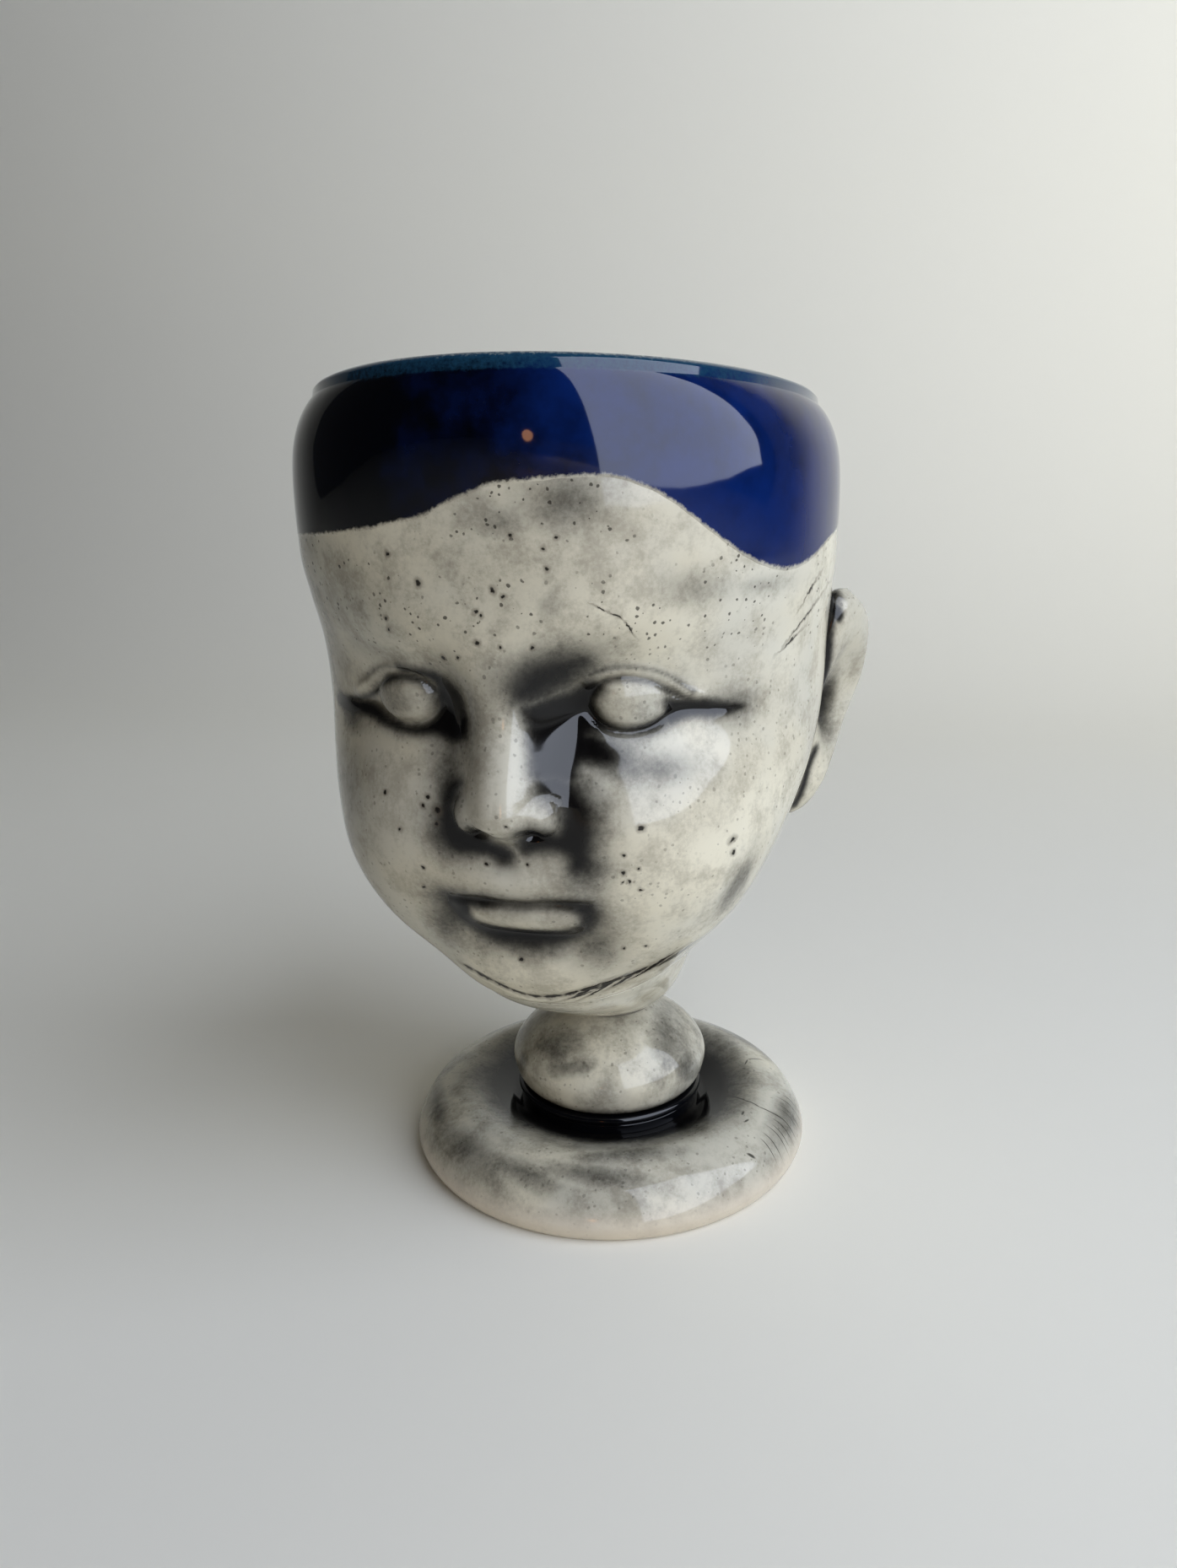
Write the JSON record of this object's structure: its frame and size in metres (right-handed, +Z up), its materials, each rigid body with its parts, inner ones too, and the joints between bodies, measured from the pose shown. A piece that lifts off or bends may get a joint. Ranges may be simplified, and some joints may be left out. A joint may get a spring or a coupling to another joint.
{
  "type": "head goblet",
  "caption": "ceramic goblet with a doll's head as its cup, cut flat above the forehead, on a knobbed stem and a domed foot",
  "frame": {"origin": "centre of the foot's flat underside, on the axis of the stem", "axes": "+Z up through the stem, -Y the way the face looks, +X to the side of the doll's left ear"},
  "size_m": [0.1168, 0.1139, 0.1644],
  "materials": {
    "cream_glaze": "gloss",
    "blue_glaze": "gloss",
    "black_glaze": "gloss",
    "slip": "satin"
  },
  "bodies": {
    "root": {"foot": "cream_glaze", "stem_knob": "cream_glaze", "collar_ring": "black_glaze", "neck_joint": "slip", "neck": "cream_glaze", "head_cup": "cream_glaze", "hair_glaze": "blue_glaze", "cup_lining": "blue_glaze", "left_ear": "cream_glaze", "right_ear": "cream_glaze"}
  },
  "joints": []
}
